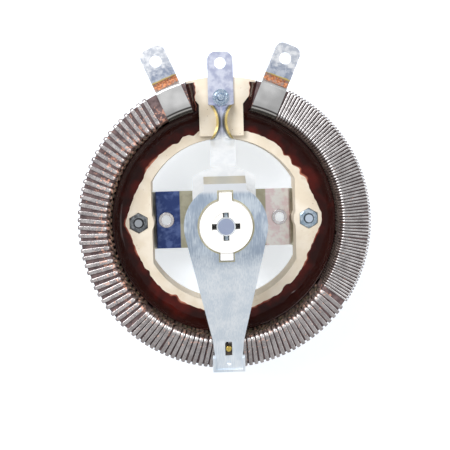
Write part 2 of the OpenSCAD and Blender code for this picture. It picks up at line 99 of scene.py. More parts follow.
class Value:
    # wraps a shader socket so that masks are written as ordinary sums
    def __init__(self, material, socket):
        self.material = material
        self.socket = socket

    def calculate(self, operation, *others):
        values = {0: self}
        for place, other in enumerate(others):
            values[place + 1] = other
        return self.material.node("ShaderNodeMath", {"operation": operation}, values)[0]

    def __add__(self, other):
        return self.calculate("ADD", other)

    def __radd__(self, other):
        return self.calculate("ADD", other)

    def __sub__(self, other):
        return self.calculate("SUBTRACT", other)

    def __rsub__(self, other):
        return self.calculate("MULTIPLY", -1.0).calculate("ADD", other)

    def __mul__(self, other):
        return self.calculate("MULTIPLY", other)

    def __rmul__(self, other):
        return self.calculate("MULTIPLY", other)

    def __truediv__(self, other):
        return self.calculate("DIVIDE", other)

    def __pow__(self, other):
        return self.calculate("POWER", other)

    def __abs__(self):
        return self.calculate("ABSOLUTE")

    def between(self, start, end):
        # 0 at start, 1 at end, eased, and held outside; start may lie above end
        flip = start > end
        first, last = (end, start) if flip else (start, end)
        eased = self.material.node(
            "ShaderNodeMapRange",
            {"interpolation_type": "SMOOTHSTEP"},
            {"Value": self, "From Min": first, "From Max": last,
             "To Min": 1.0 if flip else 0.0, "To Max": 0.0 if flip else 1.0},
        )
        return eased[0]

    def most(self, other):
        return self.calculate("MAXIMUM", other)


class Finish:
    # one material, its node tree and the single method that adds a node to it
    def __init__(self, name):
        self.data = bpy.data.materials.new(name)
        self.data.use_nodes = True
        self.tree = self.data.node_tree
        self.tree.nodes.clear()
        self.end = self.tree.nodes.new("ShaderNodeOutputMaterial")

    def node(self, kind, settings=None, values=None):
        made = self.tree.nodes.new(kind)
        for name, setting in (settings or {}).items():
            if name == "stops":
                ramp = made.color_ramp
                while len(ramp.elements) < len(setting):
                    ramp.elements.new(0.5)
                for element, (place, colour) in zip(ramp.elements, setting):
                    element.position = place
                    element.color = colour
            else:
                setattr(made, name, setting)
        for name, value in (values or {}).items():
            socket = made.inputs[name]
            if isinstance(value, Value):
                self.tree.links.new(value.socket, socket)
            else:
                socket.default_value = value
        return [Value(self, out) for out in made.outputs]

    def place(self, stretch=(1, 1, 1)):
        # object coordinates in metres, stretched along each axis
        spot = self.node("ShaderNodeTexCoord")[3]
        return self.node("ShaderNodeMapping", {}, {"Vector": spot, "Scale": stretch})[0]

    def axes(self):
        spot = self.node("ShaderNodeTexCoord")[3]
        return self.node("ShaderNodeSeparateXYZ", {}, {0: spot})

    def fromShaft(self):
        # distance from the z axis, the root of the two squares
        x, y, z = self.axes()
        return (x * x + y * y) ** 0.5

    def attribute(self, name):
        return self.node("ShaderNodeAttribute", {"attribute_name": name})[2]

    def noise(self, grain, detail=3.0, rough=0.5, stretch=(1, 1, 1)):
        # soft noise whose grains are about `grain` metres wide
        return self.node("ShaderNodeTexNoise", {}, {
            "Vector": self.place(stretch), "Scale": 1 / grain, "Detail": detail, "Roughness": rough})[0]

    def specks(self, grain):
        return self.node("ShaderNodeTexVoronoi", {}, {"Vector": self.place(), "Scale": 1 / grain})[0]

    def mix(self, factor, first, second, blend="MIX"):
        return self.node("ShaderNodeMix", {"data_type": "RGBA", "blend_type": blend},
                         {0: factor, 6: first, 7: second})[2]

    def bump(self, height, depth, strength=1.0):
        return self.node("ShaderNodeBump", {}, {"Height": height, "Distance": depth, "Strength": strength})[0]

    def close(self, **values):
        names = {"colour": "Base Color", "roughness": "Roughness", "metal": "Metallic", "normal": "Normal",
                 "coat": "Coat Weight", "coatRoughness": "Coat Roughness", "specular": "Specular IOR Level",
                 "alpha": "Alpha", "ior": "IOR"}
        shader = self.node("ShaderNodeBsdfPrincipled", {}, {names[k]: v for k, v in values.items()})[0]
        self.tree.links.new(shader.socket, self.end.inputs["Surface"])
        return self.data


def creamCeramic():
    # pressed body: warm mottling, a fine grit, scattered dark specks
    f = Finish("creamCeramic")
    mottling = f.noise(9 * mm, 4).between(0.35, 0.7)
    colour = f.mix(mottling, tint(232, 219, 197), tint(243, 233, 216))
    grime = f.noise(3.2 * mm, 5, 0.65).between(0.60, 0.74) * 0.35
    colour = f.mix(grime, colour, tint(196, 170, 142))
    spot = f.specks(2.6 * mm).between(0.085, 0.05) * f.noise(11 * mm, 1).between(0.52, 0.60)
    colour = f.mix(spot, colour, tint(120, 84, 66))
    grit = f.noise(0.5 * mm, 4, 0.6)
    return f.close(colour=colour, roughness=0.55 + 0.15 * grit, normal=f.bump(grit, 0.06 * mm, 0.5))


def darkEnamel():
    # thick glass is nearly black; it thins to a rusty rim where the attribute "thin" goes to 1; toward the
    # winding's wall it darkens further, partly from its depth and partly as painted shade cast by the wall
    f = Finish("darkEnamel")
    thin = f.attribute("thin")
    reach = f.fromShaft()
    cloud = f.noise(9 * mm, 3, 0.5)
    # painted shade, partly real depth: the glass turns black toward the winding's wall and stays redder toward
    # the rim
    shallowAndUnshaded = (reach.between(58 * mm, 50 * mm) * 0.5 + 1.6 * (cloud - 0.5)).between(0.1, 0.85)
    body = f.mix(shallowAndUnshaded, tint(38, 7, 4), tint(82, 18, 11))
    rim = f.mix(cloud.between(0.35, 0.65), tint(136, 54, 40), tint(196, 128, 104))
    colour = f.mix((thin + 0.4 * (cloud - 0.5)).between(0.4, 0.85), body, rim)
    wave = f.noise(4.5 * mm, 2, 0.5)
    return f.close(colour=colour, roughness=0.04 + 0.06 * cloud, specular=0.22,
                   normal=f.bump(wave, 0.25 * mm, 0.35))


def resistanceWire(name, residue, worn, grimy, edgeHighlightStrength):
    # dull oxidised wire; the top that the brush runs on is ground bright; a painted highlight line runs along
    # the track's inner edge
    f = Finish(name)
    x, y, z = f.axes()
    ground = z.between(ring["topZ"] - 0.42 * mm, ring["topZ"] - 0.06 * mm)
    scuff = f.noise(0.35 * mm, 3, 0.6)
    patch = f.noise(4.5 * mm, 3, 0.5)
    dull = f.mix(patch.between(0.35, 0.65), tint(108, 94, 92), tint(142, 128, 124))
    deep = z.between(ring["topZ"] - 1 * mm, ring["topZ"] - 6 * mm)
    green = f.noise(3.2 * mm, 3).between(0.48, 0.64) * deep
    dull = f.mix(green * grimy, dull, tint(134, 138, 108))
    bright = f.mix((0.6 * scuff + 0.4 * patch).between(0.35, 0.62), worn[0], worn[1])
    reach = f.fromShaft()
    # painted highlight: a near-white line along the track's inner edge, where the rounded corner catches the
    # light
    edgeHighlight = reach.between(ring["innerR"] + 1.5 * mm, ring["innerR"] + 2.2 * mm)
    edgeHighlight = edgeHighlight * reach.between(ring["innerR"] + 3.6 * mm, ring["innerR"] + 2.9 * mm)
    colour = f.mix(ground, dull, bright)
    colour = f.mix(edgeHighlight * edgeHighlightStrength, colour, tint(238, 236, 236))
    inner = f.attribute("side")
    drop = f.noise(1.9 * mm, 4, 0.62) + 0.10 * inner
    left = drop.between(0.70 - 0.09 * residue, 0.76 - 0.08 * residue) * residue
    colour = f.mix(left, colour, tint(228, 172, 148))
    rough = 0.40 - 0.16 * ground + 0.2 * (scuff - 0.5) + 0.3 * left
    return f.close(colour=colour, metal=(1.0 - left) * 0.88, roughness=rough,
                   normal=f.bump(scuff, 0.02 * mm, 0.35))


def coreSurface():
    # the insulated body between the turns: mauve brown, with peach leftovers toward the inside
    f = Finish("coreSurface")
    x, y, z = f.axes()
    cloud = f.noise(3 * mm, 4, 0.6)
    colour = f.mix(cloud.between(0.38, 0.64), tint(78, 60, 62), tint(112, 92, 92))
    reach = f.fromShaft()
    inside = reach.between(ring["outerR"] - 4 * mm, ring["innerR"] + 3 * mm)
    leftSide = x.between(10 * mm, -30 * mm) * y.between(-40 * mm, 60 * mm)
    peach = (f.noise(2.1 * mm, 4, 0.62) + 0.09 * inside + 0.05 * leftSide).between(0.655, 0.73)
    colour = f.mix(peach * 0.85, colour, tint(206, 150, 128))
    return f.close(colour=colour, roughness=0.6, normal=f.bump(cloud, 0.1 * mm, 0.5))


def facesSideways(f):
    # 1 on the cut edges of a plate that lies flat
    normal = f.node("ShaderNodeNewGeometry")[1]
    upright = f.node("ShaderNodeSeparateXYZ", {}, {0: normal})[2]
    return abs(upright).between(0.55, 0.2)


def armPlate():
    # pale plating with fine streaks, yellow where cut; painted reflection makes the head blue grey, the blade
    # nearly white and the bent tab paler
    f = Finish("zincArm")
    x, y, z = f.axes()
    cloud = f.noise(8 * mm, 3, 0.5)
    line = f.noise(0.5 * mm, 3, 0.6, (1, 0.12, 1))
    streak = (0.5 * cloud + 0.5 * line).between(0.38, 0.64)
    # painted reflection: the head tone stands for a darker reflection, the blade tone for a bright one
    headReflection = f.mix(streak, tint(160, 175, 194), tint(206, 217, 228))
    bladeReflection = f.mix(streak, tint(216, 227, 238), tint(240, 246, 252))
    bladeReflectionMask = y.between(-12 * mm, -26 * mm)
    # painted reflection: the bent part of the rear tab drawn paler
    tabReflectionMask = y.between(15.5 * mm, 18 * mm)
    colour = f.mix(bladeReflectionMask, headReflection, bladeReflection)
    colour = f.mix(tabReflectionMask, colour, tint(226, 230, 236))
    colour = f.mix(facesSideways(f) * 0.7 * y.between(-52 * mm, -46 * mm), colour, tint(206, 190, 132))
    reach = f.fromShaft()
    slot = abs(x).between(4.1 * mm, 3.8 * mm) * abs(y).between(18.1 * mm, 17.8 * mm)
    cut = slot.most(reach.between(14.3 * mm, 14.0 * mm))
    colour = f.mix(cut * 0.75, colour, tint(200, 190, 132))
    return f.close(colour=colour, metal=0.82, roughness=0.26 + 0.16 * line,
                   normal=f.bump(line, 0.012 * mm, 0.3))


neckCurve = dict(middle=52.8 * mm, arc=12.9 * mm, waist=1.65 * mm)


def leadPlate():
    # lilac zinc on the terminal and golden along the neck's cut edges; a painted reflection makes the strip
    # inside the ring nearly white, and painted shade darkens the neck just inside its edges
    f = Finish("leadPlate")
    x, y, z = f.axes()
    cloud = f.noise(4 * mm, 4, 0.55)
    lilac = f.mix(cloud.between(0.36, 0.64), tint(168, 174, 200), tint(208, 212, 228))
    pale = f.mix(cloud.between(0.36, 0.64), tint(232, 235, 238), tint(241, 243, 245))
    # painted reflection: the strip inside the ring nearly white
    colour = f.mix(y.between(50 * mm, 44 * mm), lilac, pale)
    neck = y.between(43.2 * mm, 44.2 * mm) * y.between(62.2 * mm, 61.2 * mm)
    along = y - neckCurve["middle"]
    sagitta = (neckCurve["arc"] ** 2 - along * along).most(0.0) ** 0.5
    halfWidth = (neckCurve["waist"] + neckCurve["arc"]) - sagitta
    fromEdge = halfWidth - abs(x)
    # painted shade: a grey band just inside the neck's golden edges
    colour = f.mix(neck * fromEdge.between(1.7 * mm, 0.9 * mm), colour, tint(120, 122, 118))
    colour = f.mix(neck * fromEdge.between(0.5 * mm, 0.3 * mm), colour, tint(178, 158, 98))
    return f.close(colour=colour, metal=0.5, roughness=0.3, normal=f.bump(cloud, 0.02 * mm, 0.3))


def plainMetal(name, colour, dark, rough, grain=0.8 * mm):
    f = Finish(name)
    cloud = f.noise(grain * 4, 4, 0.55)
    fine = f.noise(grain, 3, 0.6)
    shade = f.mix((0.5 * cloud + 0.5 * fine).between(0.38, 0.62), dark, colour)
    return f.close(colour=shade, metal=1.0, roughness=rough + 0.18 * (fine - 0.5),
                   normal=f.bump(fine, 0.015 * mm, 0.3))


def strapPlate():
    # olive zinc in the middle, with painted reflections: a blue band on the left and a rosy one on the right of
    # it
    f = Finish("strapPlate")
    x, y, z = f.axes()
    # painted reflection: the two outer bands where the strap mirrors its surroundings
    left = x.between(-23.7 * mm, -24.3 * mm) * x.between(-38.2 * mm, -36.8 * mm)
    right = x.between(23.7 * mm, 24.3 * mm) * x.between(38.2 * mm, 36.8 * mm)
    cloud = f.noise(5 * mm, 3, 0.55)
    colour = f.mix(cloud.between(0.4, 0.62), tint(178, 174, 150), tint(196, 192, 170))
    blueReflection = f.mix(cloud.between(0.42, 0.62), tint(62, 78, 130), tint(98, 116, 168))
    rosyReflection = f.mix(cloud.between(0.4, 0.6), tint(236, 216, 216), tint(246, 243, 238))
    colour = f.mix(left, colour, blueReflection)
    colour = f.mix(right, colour, rosyReflection)
    fine = f.noise(0.6 * mm, 3, 0.6, (1, 0.2, 1))
    return f.close(colour=colour, metal=1.0, roughness=0.25 + 0.12 * fine, normal=f.bump(fine, 0.01 * mm, 0.3))


def roughBraze():
    f = Finish("roughBraze")
    lump = f.noise(1.1 * mm, 5, 0.65)
    colour = f.mix(lump.between(0.38, 0.6), tint(140, 80, 50), tint(204, 136, 92))
    grey = f.noise(1.6 * mm, 4, 0.6).between(0.50, 0.62)
    colour = f.mix(grey * 0.8, colour, tint(128, 120, 118))
    return f.close(colour=colour, metal=0.35, roughness=0.45, normal=f.bump(lump, 0.4 * mm, 0.9))


def lugPlate():
    # tinned terminal: pale and bright round its hole, blue grey below, a golden line where the joint begins
    f = Finish("lugPlate")
    reach = f.fromShaft()
    cloud = f.noise(3 * mm, 4, 0.6)
    lower = f.mix(cloud.between(0.38, 0.62), tint(140, 150, 172), tint(188, 194, 206))
    upper = f.mix(cloud.between(0.38, 0.62), tint(186, 192, 204), tint(232, 234, 238))
    colour = f.mix((reach + 0.006 * (cloud - 0.5)).between(83 * mm, 88 * mm), lower, upper)
    line = (reach + 0.0012 * (cloud - 0.5)).between(81.0 * mm, 80.5 * mm)
    colour = f.mix(line, colour, tint(196, 176, 112))
    return f.close(colour=colour, metal=0.8, roughness=0.3, normal=f.bump(cloud, 0.03 * mm, 0.3))


def shaftEnd():
    # bluish turned face with fine rings and a painted highlight on the chamfer
    f = Finish("shaftEnd")
    reach = f.fromShaft()
    cloud = f.noise(1.2 * mm, 4, 0.6)
    ripple = (reach * (2 * math.pi / (0.8 * mm)) + 2.0 * cloud).calculate("SINE") * 0.5 + 0.5
    colour = f.mix(0.5 * cloud + 0.5 * ripple, tint(142, 156, 192), tint(198, 208, 230))
    # painted highlight: the chamfer drawn bright
    colour = f.mix(reach.between(3.9 * mm, 4.2 * mm), colour, tint(230, 236, 242))
    return f.close(colour=colour, metal=0.85, roughness=0.28, normal=f.bump(cloud, 0.015 * mm, 0.3))


def nutPair():
    # the left fixing is dark steel and the right one pale zinc; painted shade darkens the thread gap round each
    # bolt
    f = Finish("nutPair")
    x, y, z = f.axes()
    cloud = f.noise(1.4 * mm, 4, 0.55)
    dark = f.mix(cloud.between(0.38, 0.62), tint(92, 96, 100), tint(142, 146, 150))
    pale = f.mix(cloud.between(0.38, 0.62), tint(150, 172, 190), tint(200, 214, 226))
    fromBolt = ((abs(x) - fixingX) ** 2 + y * y) ** 0.5
    boltEnd = fromBolt.between(2.15 * mm, 1.95 * mm)
    # painted shade: a dark ring in the gap between bolt and nut
    threadGapShade = fromBolt.between(2.0 * mm, 2.2 * mm) * fromBolt.between(2.9 * mm, 2.7 * mm)
    dark = f.mix(boltEnd, dark, tint(168, 174, 180))
    pale = f.mix(boltEnd, pale, tint(206, 220, 236))
    dark = f.mix(threadGapShade, dark, tint(54, 56, 58))
    pale = f.mix(threadGapShade * 0.8, pale, tint(70, 82, 92))
    return f.close(colour=f.mix(x.between(-5 * mm, 5 * mm), dark, pale), metal=0.85, roughness=0.3,
                   normal=f.bump(cloud, 0.02 * mm, 0.3))


def satinBand():
    # smooth rolled strip, drawn along its length; painted reflection darkens it toward the inner edge, with a
    # painted glint line near that edge
    f = Finish("satinBand")
    reach = f.fromShaft()
    cloud = f.noise(12 * mm, 2, 0.4)
    colour = f.mix(cloud.between(0.35, 0.65), tint(182, 182, 182), tint(216, 216, 216))
    inR = ring["innerR"]
    # painted reflection: darker toward the inner edge, with a dark band; then a painted glint line
    colour = f.mix(reach.between(inR + 6.5 * mm, inR + 3.4 * mm) * 0.5, colour, tint(150, 150, 150))
    colour = f.mix(reach.between(inR + 3.2 * mm, inR + 2.6 * mm), colour, tint(70, 68, 66))
    paintedGlint = reach.between(inR + 1.2 * mm, inR + 1.5 * mm) * reach.between(inR + 2.2 * mm, inR + 1.9 * mm)
    colour = f.mix(paintedGlint, colour, tint(180, 178, 176))
    return f.close(colour=colour, metal=0.85, roughness=0.22 + 0.08 * cloud,
                   normal=f.bump(cloud, 0.02 * mm, 0.2))


def whiteSteatite():
    f = Finish("whiteSteatite")
    cloud = f.noise(6 * mm, 3)
    colour = f.mix(cloud.between(0.4, 0.65), tint(244, 242, 238), tint(250, 249, 247))
    fine = f.noise(0.7 * mm, 3)
    return f.close(colour=colour, roughness=0.32 + 0.1 * fine, normal=f.bump(fine, 0.02 * mm, 0.3))


def brushGraphite():
    f = Finish("brushGraphite")
    grain = f.noise(0.4 * mm, 4, 0.6)
    colour = f.mix(grain.between(0.4, 0.62), tint(52, 46, 42), tint(88, 78, 70))
    return f.close(colour=colour, metal=0.4, roughness=0.5 + 0.1 * grain, normal=f.bump(grain, 0.03 * mm, 0.4))


finishes = dict(
    cream_ceramic=creamCeramic(),
    core_ceramic=coreSurface(),
    dark_enamel=darkEnamel(),
    resistance_wire=resistanceWire("fineWire", 0.0, (tint(150, 145, 145), tint(208, 205, 205)), 0.2, 0.15),
    satin_band=satinBand(),
    copper_braze=roughBraze(),
    tinned_steel=plainMetal("tinnedPlate", tint(206, 210, 218), tint(150, 156, 170), 0.32, 0.9 * mm),
    zinc_plate=armPlate(),
    zinc_screw=plainMetal("zincScrew", tint(206, 220, 236), tint(150, 172, 198), 0.26, 0.5 * mm),
    strap_steel=strapPlate(),
    bright_insert=plainMetal("brightInsert", tint(240, 238, 238), tint(206, 202, 206), 0.2),
    plain_steel=nutPair(),
    bearing_bronze=plainMetal("bearingBronze", tint(196, 178, 128), tint(160, 140, 96), 0.32),
    white_ceramic=whiteSteatite(),
    shaft_steel=shaftEnd(),
    brush_graphite=brushGraphite(),
    brass_pin=plainMetal("brassPin", tint(236, 212, 124), tint(196, 164, 76), 0.22, 0.4 * mm),
)
ownFinish = dict(
    left_lug=lugPlate(),
    right_lug=lugPlate(),
    centre_lead=leadPlate(),
    winding_medium=resistanceWire("ribbonWire", 0.5, (tint(142, 136, 136), tint(190, 185, 185)), 0.9, 0.75),
    winding_coarse=resistanceWire("coarseWire", 0.75, (tint(146, 139, 141), tint(214, 209, 209)), 0.9, 0.3),
)


def finishOf(node):
    return ownFinish.get(node, finishes[slotOf[node]])


slotOf = {part["node"]: part["material_slot"] for part in frame["record"]["subparts"]}
bodyOf = {node: body for body, nodes in frame["record"]["behaviour"]["bodies"].items() for node in nodes}
for node, thing in frame["nodes"].items():
    thing.data.materials.clear()
    thing.data.materials.append(finishOf(node))
print("finishes made")


def gridMesh(name, points, closedU=False, closedV=False, values=None, capped=False):
    # points is an n by m by 3 array; neighbours in both directions are joined by quads,
    # and capped closes the first and the last ring with one face each
    n, m = points.shape[:2]
    rows = np.arange(n if closedU else n - 1)[:, None]
    columns = np.arange(m if closedV else m - 1)[None, :]
    nextRow, nextColumn = (rows + 1) % n, (columns + 1) % m
    corners = [rows * m + columns, nextRow * m + columns, nextRow * m + nextColumn, rows * m + nextColumn]
    faces = np.stack([np.broadcast_to(c, (rows.size, columns.size)).ravel() for c in corners], axis=1).tolist()
    if capped:
        faces.append(list(range(m)))
        faces.append(list(range(n * m - 1, (n - 1) * m - 1, -1)))
    return faceMesh(name, points.reshape(-1, 3), faces, values)


def faceMesh(name, points, faces, values=None):
    mesh = bpy.data.meshes.new(name)
    mesh.from_pydata(points.tolist(), [], [list(face) for face in faces])
    mesh.polygons.foreach_set("use_smooth", np.ones(len(faces), dtype=bool))
    for key, numbers in (values or {}).items():
        layer = mesh.attributes.new(key, "FLOAT", "POINT")
        layer.data.foreach_set("value", np.ascontiguousarray(numbers, dtype=np.float32).ravel())
    mesh.update()
    piece = bpy.data.objects.new(name, mesh)
    bpy.context.scene.collection.objects.link(piece)
    return piece


def finished(piece, *nodes):
    # the piece stands for its nodes, rides on their body and takes their finish
    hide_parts(*nodes)
    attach(piece, bodyOf[nodes[0]])
    piece.data.materials.clear()
    piece.data.materials.append(finishOf(nodes[0]))
    return piece


def softened(node, width, segments=2, angle=32):
    # a merged copy of a CAD node with its edges broken by a small round
    source = frame["nodes"][node]
    mesh = source.data.copy()
    mesh.transform(source.matrix_world)
    work = bmesh.new()
    work.from_mesh(mesh)
    bmesh.ops.remove_doubles(work, verts=work.verts, dist=1e-6)
    bmesh.ops.dissolve_limit(work, angle_limit=math.radians(1.0), verts=work.verts, edges=work.edges)
    work.to_mesh(mesh)
    work.free()
    piece = bpy.data.objects.new(node.replace("_", "-") + "-soft", mesh)
    bpy.context.scene.collection.objects.link(piece)
    bevel = piece.modifiers.new("brokenEdges", "BEVEL")
    bevel.width = width
    bevel.segments = segments
    bevel.limit_method = "ANGLE"
    bevel.angle_limit = math.radians(angle)
    bevel.use_clamp_overlap = True
    bevel.harden_normals = False
    mesh.polygons.foreach_set("use_smooth", np.ones(len(mesh.polygons), dtype=bool))
    normals = piece.modifiers.new("cleanShading", "WEIGHTED_NORMAL")
    normals.keep_sharp = True
    return finished(piece, node)


camera = dict(azimuth=108.072, elevation=85.089, roll=-1.582, distance=450.354 * mm,
              aim=(0.363 * mm, -1.936 * mm, 25 * mm), lens=67.365, sensor=36.0)


def makeCamera():
    # the camera stands off from its aim along a line given by two angles, and is rolled about that line
    azimuth, elevation, roll = (math.radians(camera[k]) for k in ("azimuth", "elevation", "roll"))
    away = Vector((math.cos(elevation) * math.cos(azimuth), math.cos(elevation) * math.sin(azimuth),
                   math.sin(elevation)))
    side = (-away).cross(Vector((0, 1, 0))).normalized()
    above = side.cross(-away)
    right = side * math.cos(roll) + above * math.sin(roll)
    up = -side * math.sin(roll) + above * math.cos(roll)
    data = bpy.data.cameras.new("camera")
    data.lens, data.sensor_width = camera["lens"], camera["sensor"]
    data.clip_start, data.clip_end = 0.01, 20
    thing = bpy.data.objects.new("camera", data)
    bpy.context.scene.collection.objects.link(thing)
    turn = Matrix((right, up, away)).transposed().to_4x4()
    thing.matrix_world = Matrix.Translation(Vector(camera["aim"]) + away * camera["distance"]) @ turn
    bpy.context.scene.camera = thing


makeCamera()

stage = dict(floorSize=60.0, floorColour=tint(240, 246, 255), sky=0.8,
             key=dict(place=(-0.55, 0.60, 1.0), size=0.7, power=12.5),
             fill=dict(place=(0.75, 0.25, 0.8), size=0.8, power=4.0))


def makeStage():
    half = stage["floorSize"] / 2
    floorZ = cadBox[0][2] - 0.2 * mm
    signs = np.array([[-1, -1], [1, -1], [1, 1], [-1, 1]])
    corners = np.column_stack([half * signs, np.full(4, floorZ)])
    floor = faceMesh("floor", corners, np.array([[0, 1, 2, 3]]))
    f = Finish("floorPaper")
    plain = f.node("ShaderNodeBsdfDiffuse", {}, {"Color": stage["floorColour"]})[0]
    glow = f.node("ShaderNodeEmission", {}, {"Color": (0.93, 0.97, 1.0, 1.0), "Strength": 0.33})[0]
    both = f.node("ShaderNodeAddShader", {}, {0: plain, 1: glow})[0]
    path = f.node("ShaderNodeLightPath")
    seen = path[0].most(path[3]).most(path[6])
    chosen = f.node("ShaderNodeMixShader", {}, {0: seen, 1: plain, 2: both})[0]
    f.tree.links.new(chosen.socket, f.end.inputs["Surface"])
    floor.data.materials.append(f.data)

    world = bpy.data.worlds.new("studio")
    bpy.context.scene.world = world
    world.use_nodes = True
    tree = world.node_tree
    tree.nodes.clear()
    out = tree.nodes.new("ShaderNodeOutputWorld")
    path = tree.nodes.new("ShaderNodeLightPath")
    soft = tree.nodes.new("ShaderNodeBackground")
    soft.inputs["Strength"].default_value = stage["sky"]
    shown = tree.nodes.new("ShaderNodeBackground")
    shown.inputs["Strength"].default_value = 1.0
    blend = tree.nodes.new("ShaderNodeMixShader")
    either = tree.nodes.new("ShaderNodeMath")
    either.operation = "MAXIMUM"
    tree.links.new(path.outputs["Is Camera Ray"], either.inputs[0])
    tree.links.new(path.outputs["Is Transmission Ray"], either.inputs[1])
    tree.links.new(either.outputs[0], blend.inputs[0])
    tree.links.new(soft.outputs[0], blend.inputs[1])
    tree.links.new(shown.outputs[0], blend.inputs[2])
    tree.links.new(blend.outputs[0], out.inputs[0])

    for name in ("key", "fill"):
        lamp = bpy.data.lights.new(name, "AREA")
        lamp.size = stage[name]["size"]
        lamp.energy = stage[name]["power"]
        thing = bpy.data.objects.new(name, lamp)
        bpy.context.scene.collection.objects.link(thing)
        place = Vector(stage[name]["place"])
        thing.matrix_world = Matrix.Translation(place) @ place.to_track_quat("Z", "Y").to_matrix().to_4x4()


makeStage()
bpy.context.scene.view_settings.view_transform = "Standard"
print("stage lit")

def around(radius, angle, z):
    # a place given by its distance from the shaft and its clockwise angle from the centre terminal
    radius, angle, z = np.broadcast_arrays(radius, angle, z)
    return np.stack([radius * np.sin(angle), radius * np.cos(angle), z], axis=-1)


windings = dict(
    winding_fine_a=dict(start=27.9, pitch=1.36, turns=52, width=1.12, square=2.1, lean=(-0.2, 0.1), sway=0.03),
    winding_fine_b=dict(start=98.86, pitch=1.31, turns=20, width=1.10, square=2.1, lean=(0.2, 0.6), sway=0.03),
    winding_medium=dict(start=127.35, pitch=2.28, turns=43, width=2.02, square=3.4, lean=(0.7, 1.0), sway=0.07),
    winding_coarse=dict(start=226.21, pitch=3.09, turns=34, width=2.12, square=2.7, lean=(0.9, 0.6), sway=0.05),
)
wire = dict(cornerSteps=5, topSteps=9, sideSteps=3, around=10, spareHeight=0.30 * mm)


def wireLoop():
    # one trip round the body: a rounded rectangle with its outward normal, a share of the way across
    # the track, and how far it lies on the top; it starts at the inner wall's foot and goes up
    half = ring["wireT"] / 2
    inR, outR = ring["innerR"] + half, ring["outerR"] - half
    foot, top = ring["bottomZ"] + half, ring["topZ"] - half
    inTop, outTop, footR = ring["innerRound"] - half, ring["outerRound"] - half, ring["footRound"] - half
    corners = [((inR + inTop, top - inTop), inTop, 180, 90), ((outR - outTop, top - outTop), outTop, 90, 0),
               ((outR - footR, foot + footR), footR, 0, -90), ((inR + footR, foot + footR), footR, -90, -180)]
    places, normals = [], []
    steps = [wire["topSteps"], wire["sideSteps"], wire["sideSteps"], wire["sideSteps"]]
    for index, (centre, radius, first, last) in enumerate(corners):
        turn = np.radians(np.linspace(first, last, wire["cornerSteps"]))
        normal = np.stack([np.cos(turn), np.sin(turn)], axis=-1)
        arc = np.array(centre) + radius * normal
        places.append(arc)
        normals.append(normal)
        following = corners[(index + 1) % 4]
        begin = np.radians(following[2])
        goal = np.array(following[0]) + following[1] * np.array([np.cos(begin), np.sin(begin)])
        share = np.linspace(0, 1, steps[index] + 2)[1:-1, None]
        places.append(arc[-1] + (goal - arc[-1]) * share)
        normals.append(np.repeat(normal[-1:], steps[index], axis=0))
    return np.concatenate(places), np.concatenate(normals)


def windingPiece(node):
    # the helix: at each place of the loop the angle grows by the lean across the top and by the rest of
    # the pitch under the body; a rounded section, cut flat where the brush grinds it, is carried along it
    w = windings[node]
    places, normals = wireLoop()
    m = len(places)
    across = np.clip((places[:, 0] - ring["innerR"] - ring["innerRound"])
                     / (ring["width"] - ring["innerRound"] - ring["outerRound"]), 0, 1)
    under = normals[:, 1] < -0.01
    onTop = np.clip(normals[:, 1], 0, 1) ** 3
    turn = np.arange(w["turns"])[:, None]
    lean = w["lean"][0] + (w["lean"][1] - w["lean"][0]) * turn / (w["turns"] - 1)
    sway = w["sway"] * w["pitch"] * rng.standard_normal((w["turns"], 2))
    drift = sway[:, :1] + (sway[:, 1:] - sway[:, :1]) * across * 0.6
    forward = lean * (across - 0.5) + drift
    back = np.where(under, w["pitch"] * (1 - across), 0.0)
    angle = np.radians(w["start"] + turn * w["pitch"] + forward + back)
    cut = w["turns"] * m - (wire["sideSteps"] + wire["cornerSteps"])
    angle = angle.reshape(-1)[:cut, None]
    place = np.tile(places, (w["turns"], 1))[:cut]
    normal = np.tile(normals, (w["turns"], 1))[:cut]
    top = np.tile(onTop, w["turns"])[:cut, None]
    phase = np.linspace(0, 2 * np.pi, wire["around"], endpoint=False) + np.pi / wire["around"]
    power = 2 / w["square"]
    sideways = 0.5 * w["width"] * mm * np.sign(np.cos(phase)) * np.abs(np.cos(phase)) ** power
    outward = 0.5 * ring["wireT"] * np.sign(np.sin(phase)) * np.abs(np.sin(phase)) ** power
    outward = outward + wire["spareHeight"] * top * (np.sin(phase) > 0)
    height = np.minimum(place[:, 1:] + outward * normal[:, 1:], ring["topZ"])
    points = around(place[:, :1] + outward * normal[:, :1], angle, height)
    points[..., 0] += sideways * np.cos(angle)
    points[..., 1] -= sideways * np.sin(angle)
    inner = np.repeat(np.tile(1 - across, w["turns"])[:cut, None], wire["around"], axis=1)
    piece = gridMesh(node.replace("_", "-") + "-coil", points, closedV=True, values=dict(side=inner),
                     capped=True)
    finished(piece, node)


for node in windings:
    windingPiece(node)
print("windings made")

glass = dict(rimR=50.1 * mm, bossX=fixingX, bossR=7.5 * mm, bossHalf=16.7 * mm, postHalf=11.7 * mm,
             valleyZ=20.42 * mm, valleyR=52.0 * mm, climb=4.0 * mm, lap=0.5 * mm, wave=0.3 * mm,
             # each drip's clockwise angle, its width in degrees and its depth in waves
             drips=((44, 2.2, 5.0), (52, 3.0, 6.5), (60, 2.0, 4.0), (113, 2.5, 4.0), (139, 3.0, 4.5),
                    (214, 2.5, 4.0), (238, 2.0, 3.5), (299, 2.4, 3.5), (331, 3.0, 5.0), (342, 2.0, 4.0)),
             # how many waves go round the edge, and how strong each of them is
             waves=((7, 0.8), (13, 0.5), (23, 0.5), (37, 0.35), (61, 0.3), (97, 0.2)),
             onRim=3.2 * mm, wallGap=0.5 * mm, steepness=2.6, bead=0.45 * mm, rust=1.5 * mm,
             skin=0.26 * mm, depth=0.6 * mm, ends=11.6, stepsRound=860, stepsAcross=24)


